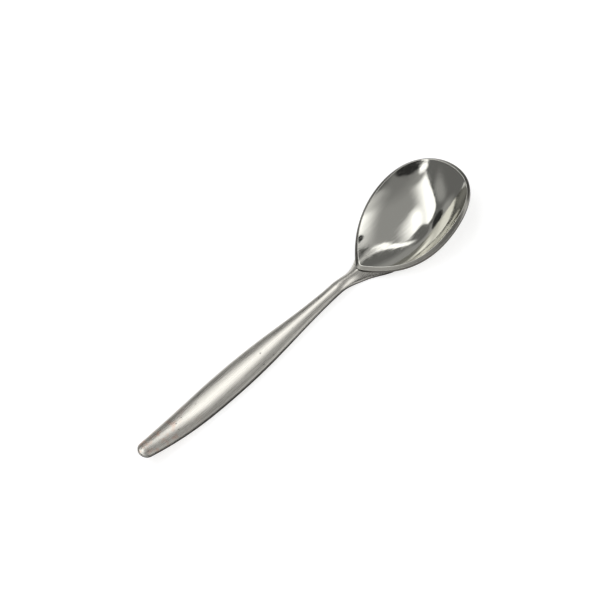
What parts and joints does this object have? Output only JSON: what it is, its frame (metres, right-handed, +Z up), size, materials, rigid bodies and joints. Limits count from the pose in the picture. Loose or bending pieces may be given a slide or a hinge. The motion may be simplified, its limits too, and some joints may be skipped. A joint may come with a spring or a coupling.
{
  "type": "teaspoon",
  "caption": "Teaspoon with a mirror-polished egg-shaped bowl, a slim flared neck and a full-bodied satin handle that is turned up at its tip, for stirring and eating.",
  "frame": {"origin": "on the table, under the middle of the spoon's length and width", "axes": "+X along the spoon from the handle's tip to the bowl's tip, +Z up out of the table that the spoon lies on, bowl open upwards"},
  "size_m": [0.152, 0.0362, 0.0124],
  "materials": {
    "mirror_steel": "mirror polished stainless steel",
    "satin_steel": "satin stainless steel with fine grain along the handle",
    "resin_cement": "dull cast resin"
  },
  "bodies": {
    "root": {"bowl": "mirror_steel", "stem": "satin_steel", "handle_upper_shell": "satin_steel", "handle_lower_shell": "satin_steel", "handle_filler": "resin_cement"}
  },
  "joints": []
}
